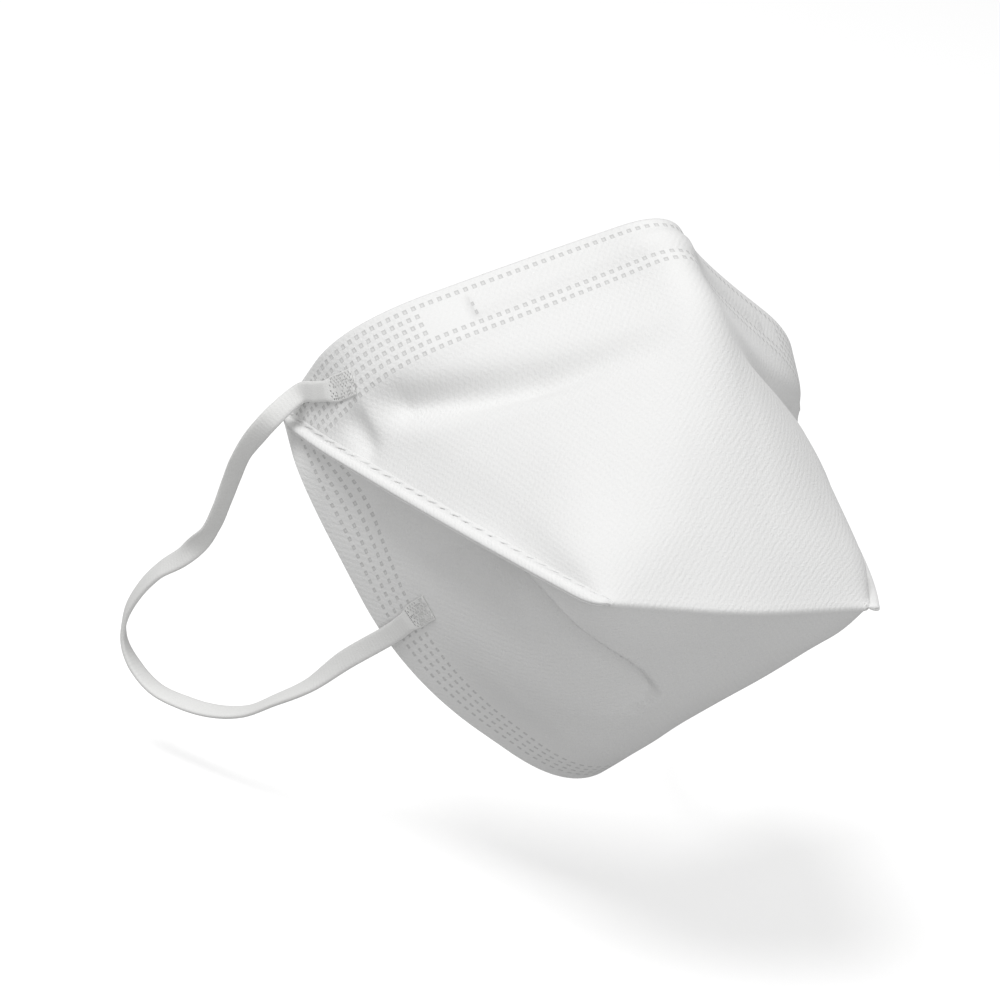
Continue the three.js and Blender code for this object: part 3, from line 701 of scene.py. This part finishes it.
# Grey where a weld has fused the cloth clear; on the weld dots' slopes the extra darkness is painted shade.
cloth_colour = blended(nodes, links, melt_and_pit_shade_node.outputs["Fac"], fluff_and_pit_shade, (0.64, 0.64, 0.635, 1))
links.new(cloth_colour, finish.inputs["Base Color"])
pouch.data.materials.append(cloth)

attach(pouch, "root")
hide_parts("filter_pouch")

# ---------------------------------------------------------------- ear loops
# A flat ribbed elastic strap on each side. Its two ends are laid on the cloth and welded down through a patch
# of small pits: one on the upper panel by the ear corner, one on the lower panel. The rest hangs free, and it
# makes half a turn on its way.
STRAP_WIDTH, STRAP_THICKNESS = 4.8, 1.2
STRAP_SEAT = 0.05
PAD_LENGTH, PAD_THICKNESS, PAD_SPREAD, PAD_SINK = 8.0, 0.35, 0.3, 0.38
PAD_EASE = 4.0
PIT_CHANCES = (0.25, 0.85)  # of a pit on each cell of a pad, by turns
PIT_RIM, PIT_SLOPE, PIT_DEPTH = 0.03, 0.08, 0.22
RIB_STEP, RIB_THINNED = 0.5, 0.97
RIGHT_LOOP_RISE = 0.94
# Middle line of the left loop where it lies on the upper panel: across, up, lift off its seat.
LOOP_START = ((-81.4, 89.5, 0), (-85.4, 90.7, 0), (-89.4, 92.3, 0.1), (-93.8, 94.8, 0.2), (-98.5, 97.5, 0.6))
# Where it hangs free: the point, and the way its outer side looks.
LOOP_FREE = (
    ((-67.4, -7.4, 0.4), (-0.7, -0.7, 0)),
    ((-68.9, 0.2, -10.9), (0, -1, -0.3)),
    ((-68.6, 4, -18.4), (0.1, -1, -0.3)),
    ((-68.6, 6.6, -25.6), (0.2, -1, -0.3)),
    ((-69, 9.6, -33), (0.1, -1, -0.3)),
    ((-71.2, 16, -42), (-0.9, -0.4, 0.2)),
    ((-73.8, 22.5, -48.4), (-0.9, 0, 0.4)),
    ((-75.6, 27.7, -55.6), (-0.95, 0.15, 0.3)),
    ((-76.3, 31.5, -63.6), (-0.9, 0.3, 0.1)),
    ((-75.4, 32.1, -70.2), (-0.85, 0.5, -0.1)),
    ((-72.7, 29.4, -75.5), (-0.5, 0.7, -0.45)),
    ((-68.8, 24.3, -79.3), (-0.1, 0.45, -0.85)),
    ((-64.1, 16.6, -79.8), (0.3, 0.15, -0.9)),
    ((-59.7, 9, -78.6), (0.4, 0, -0.9)),
    ((-55.6, 1.3, -75.3), (0.4, 0, -0.9)),
    ((-52.2, -6.2, -69.2), (0.45, 0.1, -0.85)),
    ((-48.9, -15.3, -61.6), (0.5, 0.3, -0.75)),
    ((-45.3, -24.2, -51.4), (0.6, 0.5, -0.3)),
)
# Where it lies on the lower panel, the other way round.
LOOP_END = ((-54.6, 95, 0.4), (-54.8, 90, 0), (-55, 85, 0), (-55, 80, 0))


CURVE_STEPS = 40


def through(points, spacing):
    """A centripetal curve through points, at even spacing, and each place as a count of points passed."""
    points = np.asarray(points, float)
    padded = np.vstack([2 * points[0] - points[1], points, 2 * points[-1] - points[-2]])
    fine, passed = [], []
    for i in range(len(points) - 1):
        p = padded[i:i + 4]
        knots = np.concatenate([[0], np.cumsum(np.linalg.norm(np.diff(p, axis=0), axis=1) ** 0.5)])
        t = knots[1] + (knots[2] - knots[1]) * np.linspace(0, 1, CURVE_STEPS, endpoint=False)[:, None]
        mix = lambda a, b, k, m: (a * (knots[m] - t) + b * (t - knots[k])) / (knots[m] - knots[k])
        a, b, c = mix(p[0], p[1], 0, 1), mix(p[1], p[2], 1, 2), mix(p[2], p[3], 2, 3)
        fine.append(mix(mix(a, b, 0, 2), mix(b, c, 1, 3), 1, 2))
        passed.append(i + np.linspace(0, 1, CURVE_STEPS, endpoint=False))
    fine = np.vstack([*fine, points[-1:]])
    passed = np.concatenate([*passed, [len(points) - 1]])
    reached = np.concatenate([[0], np.cumsum(np.linalg.norm(np.diff(fine, axis=0), axis=1))])
    even = np.linspace(0, reached[-1], int(reached[-1] / spacing) + 1)
    line = np.stack([np.interp(even, reached, fine[:, n]) for n in range(3)], 1)
    return line, np.interp(even, reached, passed)


def welded_stations(panel, side, rows, height):
    across = np.array([-side * row[0] for row in rows])
    up = np.array([row[1] for row in rows])
    lift = np.array([row[2] for row in rows])
    facing = web_facing(panel, across, up)
    return web(panel, across, up) + facing * (height + lift)[:, None], facing


def unit(vectors):
    return vectors / np.linalg.norm(vectors, axis=1)[:, None]


# The strap's section, as shares of half its width and half its thickness, round from its outer side.
FACE_CELLS = 8
across_face = np.linspace(-0.9, 0.9, FACE_CELLS + 1)
STRAP_SECTION = np.array(
    [(x, 1 - 0.25 * x**4) for x in across_face] + [(1.0, 0.35), (1.0, -0.35)]
    + [(x, -1 + 0.25 * x**4) for x in across_face[::-1]] + [(-1.0, -0.35), (-1.0, 0.35)])


def ear_loop(name, node, side):
    """side is -1 for the left loop, 1 for the right one."""
    height = STRAP_SEAT + STRAP_THICKNESS / 2
    start, start_facing = welded_stations("upper", side, LOOP_START, height)
    end, end_facing = welded_stations("lower", side, LOOP_END, height)
    mirror = np.array([-side, 1, 1])
    free = np.array([at for at, _ in LOOP_FREE]) * mirror
    if side == 1:
        free[:, 2] *= np.where(free[:, 2] < 0, RIGHT_LOOP_RISE, 1)
    free_facing = np.array([faces for _, faces in LOOP_FREE]) * mirror
    stations = np.vstack([start, free, end])
    station_facings = np.vstack([start_facing, free_facing, -end_facing])
    line, passed = through(stations, RIB_STEP)
    every = np.arange(len(stations))
    facing = np.stack([np.interp(passed, every, station_facings[:, n]) for n in range(3)], 1)
    tangent = unit(np.gradient(line, axis=0))
    across = unit(np.cross(facing, tangent))
    outer = np.cross(tangent, across)
    rings, ring = len(line), len(STRAP_SECTION)
    from_end = np.minimum(np.arange(rings), np.arange(rings)[::-1]) * RIB_STEP
    flattened = smoothstep((PAD_LENGTH + PAD_EASE / 2 - from_end) / PAD_EASE)[:, None, None]
    off_cloth = outer * np.where(np.arange(rings) < rings / 2, 1, -1)[:, None]
    line = line - off_cloth * flattened[:, :, 0] * PAD_SINK
    rib = np.where(np.arange(rings) % 2, 1.0, RIB_THINNED)[:, None, None]
    rib = rib * (1 - flattened * (1 - PAD_THICKNESS / STRAP_THICKNESS))
    half = np.array([STRAP_WIDTH, STRAP_THICKNESS]) / 2
    section = STRAP_SECTION[None] * half * np.concatenate([1 + PAD_SPREAD * flattened, rib], axis=2)
    places = (line[:, None] + across[:, None] * section[:, :, :1] + outer[:, None] * section[:, :, 1:])
    faces = [(r * ring + k, r * ring + (k + 1) % ring, (r + 1) * ring + (k + 1) % ring, (r + 1) * ring + k)
             for r in range(rings - 1) for k in range(ring)]
    faces += [tuple(range(ring))[::-1], tuple((rings - 1) * ring + k for k in range(ring))]
    mesh = bpy.data.meshes.new(name)
    mesh.from_pydata((places * MM).reshape(-1, 3).tolist(), [], faces)
    strap = bpy.data.objects.new(name, mesh)
    bpy.context.collection.objects.link(strap)
    girth = np.concatenate([[0], np.cumsum(np.linalg.norm(np.diff(STRAP_SECTION * half, axis=0), axis=1))])
    flat_place = np.stack([np.repeat(np.arange(rings) * RIB_STEP, ring), np.tile(girth, rings)], 1)
    lay_flat(mesh, mesh.uv_layers.new(name="along_strap"), flat_place, 0.0)
    edit_faces(strap, np.ones(len(mesh.polygons), bool))
    bpy.ops.mesh.normals_make_consistent(inside=False)
    bpy.ops.object.mode_set(mode="OBJECT")
    # Pits in both welded ends, on whichever side of the strap shows there. Their floors are coloured dark
    # grey: partly the knit's weld grey, partly painted shade in the pits.
    scatter = np.random.default_rng(5)
    pits = np.zeros(len(mesh.polygons), bool)
    pad_rings = int(PAD_LENGTH / RIB_STEP)
    for first, last, face_start in ((0, pad_rings, 0), (rings - 1 - pad_rings, rings - 1, FACE_CELLS + 3)):
        for r in range(first, last):
            for k in range(FACE_CELLS):
                pits[r * ring + face_start + k] = scatter.random() < PIT_CHANCES[(r + k) % 2]
    edit_faces(strap, pits)
    bpy.ops.mesh.inset(thickness=PIT_RIM * MM, use_individual=True)
    bpy.ops.mesh.inset(thickness=PIT_SLOPE * MM, depth=-PIT_DEPTH * MM, use_individual=True)
    bpy.ops.object.mode_set(mode="OBJECT")
    mark_melt_and_pit_shade(mesh, chosen_faces(mesh).astype(float))
    only(strap)
    bpy.ops.object.shade_smooth()
    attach(strap, "root")
    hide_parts(node)
    return strap


elastic, nodes, links, finish = new_material("elastic_white")
set_input(finish, "Roughness", 0.85)
set_input(finish, "Specular IOR Level", 0.3)
strap_place = flat_millimetres(nodes, links)
ribs = nodes.new("ShaderNodeTexWave")
ribs.bands_direction = "X"
set_input(ribs, "Scale", 0.314)
set_input(ribs, "Distortion", 1.2)
set_input(ribs, "Detail", 1.0)
links.new(strap_place, ribs.inputs["Vector"])
knit = nodes.new("ShaderNodeTexNoise")
set_input(knit, "Scale", 3.2)
set_input(knit, "Detail", 3.0)
links.new(strap_place, knit.inputs["Vector"])
relief = nodes.new("ShaderNodeMath")
relief.operation = "MULTIPLY_ADD"
relief.inputs[1].default_value = 0.2
links.new(ribs.outputs["Fac"], relief.inputs[0])
links.new(knit.outputs["Fac"], relief.inputs[2])
bump = nodes.new("ShaderNodeBump")
set_input(bump, "Strength", 0.5)
set_input(bump, "Distance", 0.0002)
links.new(relief.outputs["Value"], bump.inputs["Height"])
links.new(bump.outputs["Normal"], finish.inputs["Normal"])
speckled = blended(nodes, links, knit.outputs["Fac"], (0.76, 0.76, 0.75, 1), (0.90, 0.90, 0.89, 1))
pit_melt_and_shade = nodes.new("ShaderNodeAttribute")
pit_melt_and_shade.attribute_name = "melted"
# Dark grey in the pits: the knit's weld grey, with painted shade in the pits.
strap_colour = blended(nodes, links, pit_melt_and_shade.outputs["Fac"], speckled, (0.34, 0.34, 0.34, 1))
links.new(strap_colour, finish.inputs["Base Color"])

for name, node, side in (("left_strap", "ear_loop_left", -1), ("right_strap", "ear_loop_right", 1)):
    strap = ear_loop(name, node, side)
    strap.data.materials.append(elastic)

# ---------------------------------------------------------------- nose wire
# A soft flat aluminium wire, which the wearer bends to the nose. It lies in the upper band's channel, closed
# in by the cloth on both faces.
aluminium, nodes, links, finish = new_material("soft_aluminium")
set_input(finish, "Base Color", (0.55, 0.56, 0.57, 1))
set_input(finish, "Metallic", 1.0)
place = nodes.new("ShaderNodeTexCoord")
drawn = nodes.new("ShaderNodeMapping")
drawn.inputs["Scale"].default_value = (40, 900, 900)
links.new(place.outputs["Object"], drawn.inputs["Vector"])
scratches = nodes.new("ShaderNodeTexNoise")
set_input(scratches, "Scale", 3.0)
links.new(drawn.outputs["Vector"], scratches.inputs["Vector"])
gloss = nodes.new("ShaderNodeMapRange")
set_input(gloss, "To Min", 0.3)
set_input(gloss, "To Max", 0.5)
links.new(scratches.outputs["Fac"], gloss.inputs["Value"])
links.new(gloss.outputs["Result"], finish.inputs["Roughness"])
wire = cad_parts["nose_wire"]
wire.data.materials[0] = aluminium

# ---------------------------------------------------------------- studio
# A pale floor under the mask, soft light from the upper left and a white room all round.
FLOOR_HEIGHT = -0.096
# The floor and the room look brighter to the camera than the light that they give the mask.
FLOOR_COLOUR, FLOOR_GLOW, FLOOR_THROWN = 0.85, 0.4, 0.46
ROOM_SEEN, ROOM_LIGHT = 1.0, 0.51
deselect_all()
bpy.ops.mesh.primitive_circle_add(vertices=96, radius=6, fill_type="NGON", location=(0, 0, FLOOR_HEIGHT))
floor = bpy.context.object
floor.name = "floor"
pale, nodes, links, finish = new_material("pale_floor")
set_input(finish, "Base Color", (FLOOR_COLOUR, FLOOR_COLOUR, FLOOR_COLOUR, 1))
set_input(finish, "Roughness", 0.9)
set_input(finish, "Specular IOR Level", 0.0)
set_input(finish, "Emission Color", (1, 1, 1, 1))
set_input(finish, "Emission Strength", FLOOR_GLOW)
dull = nodes.new("ShaderNodeBsdfDiffuse")
set_input(dull, "Color", (FLOOR_THROWN, FLOOR_THROWN, FLOOR_THROWN, 1))
ray = nodes.new("ShaderNodeLightPath")
either = nodes.new("ShaderNodeMixShader")
links.new(ray.outputs["Is Camera Ray"], either.inputs["Fac"])
links.new(dull.outputs["BSDF"], either.inputs[1])
links.new(finish.outputs["BSDF"], either.inputs[2])
links.new(either.outputs["Shader"], nodes["Material Output"].inputs["Surface"])
floor.data.materials.append(pale)


def soft_light(name, place, size, power):
    light = bpy.data.lights.new(name, "AREA")
    light.shape = "DISK"
    light.size = size
    light.energy = power
    lamp = bpy.data.objects.new(name, light)
    lamp.location = place
    lamp.rotation_mode = "QUATERNION"
    lamp.rotation_quaternion = (VIEW_TARGET - lamp.location).to_track_quat("-Z", "Y")
    bpy.context.collection.objects.link(lamp)


soft_light("key", Vector((-0.68, -0.24, 1.43)), 0.9, 14.0)
soft_light("front_fill", Vector((-0.3, -1.6, 0.35)), 0.9, 3.4)

world = bpy.data.worlds.new("room")
world.use_nodes = True
bpy.context.scene.world = world
room_nodes, room_links = world.node_tree.nodes, world.node_tree.links
room = room_nodes["Background"]
set_input(room, "Color", (1, 1, 1, 1))
set_input(room, "Strength", ROOM_LIGHT)
seen = room_nodes.new("ShaderNodeBackground")
set_input(seen, "Color", (1, 1, 1, 1))
set_input(seen, "Strength", ROOM_SEEN)
choose = room_nodes.new("ShaderNodeMixShader")
ray = room_nodes.new("ShaderNodeLightPath")
room_links.new(ray.outputs["Is Camera Ray"], choose.inputs["Fac"])
room_links.new(room.outputs["Background"], choose.inputs[1])
room_links.new(seen.outputs["Background"], choose.inputs[2])
room_links.new(choose.outputs["Shader"], room_nodes["World Output"].inputs["Surface"])
bpy.context.scene.view_settings.view_transform = "Standard"
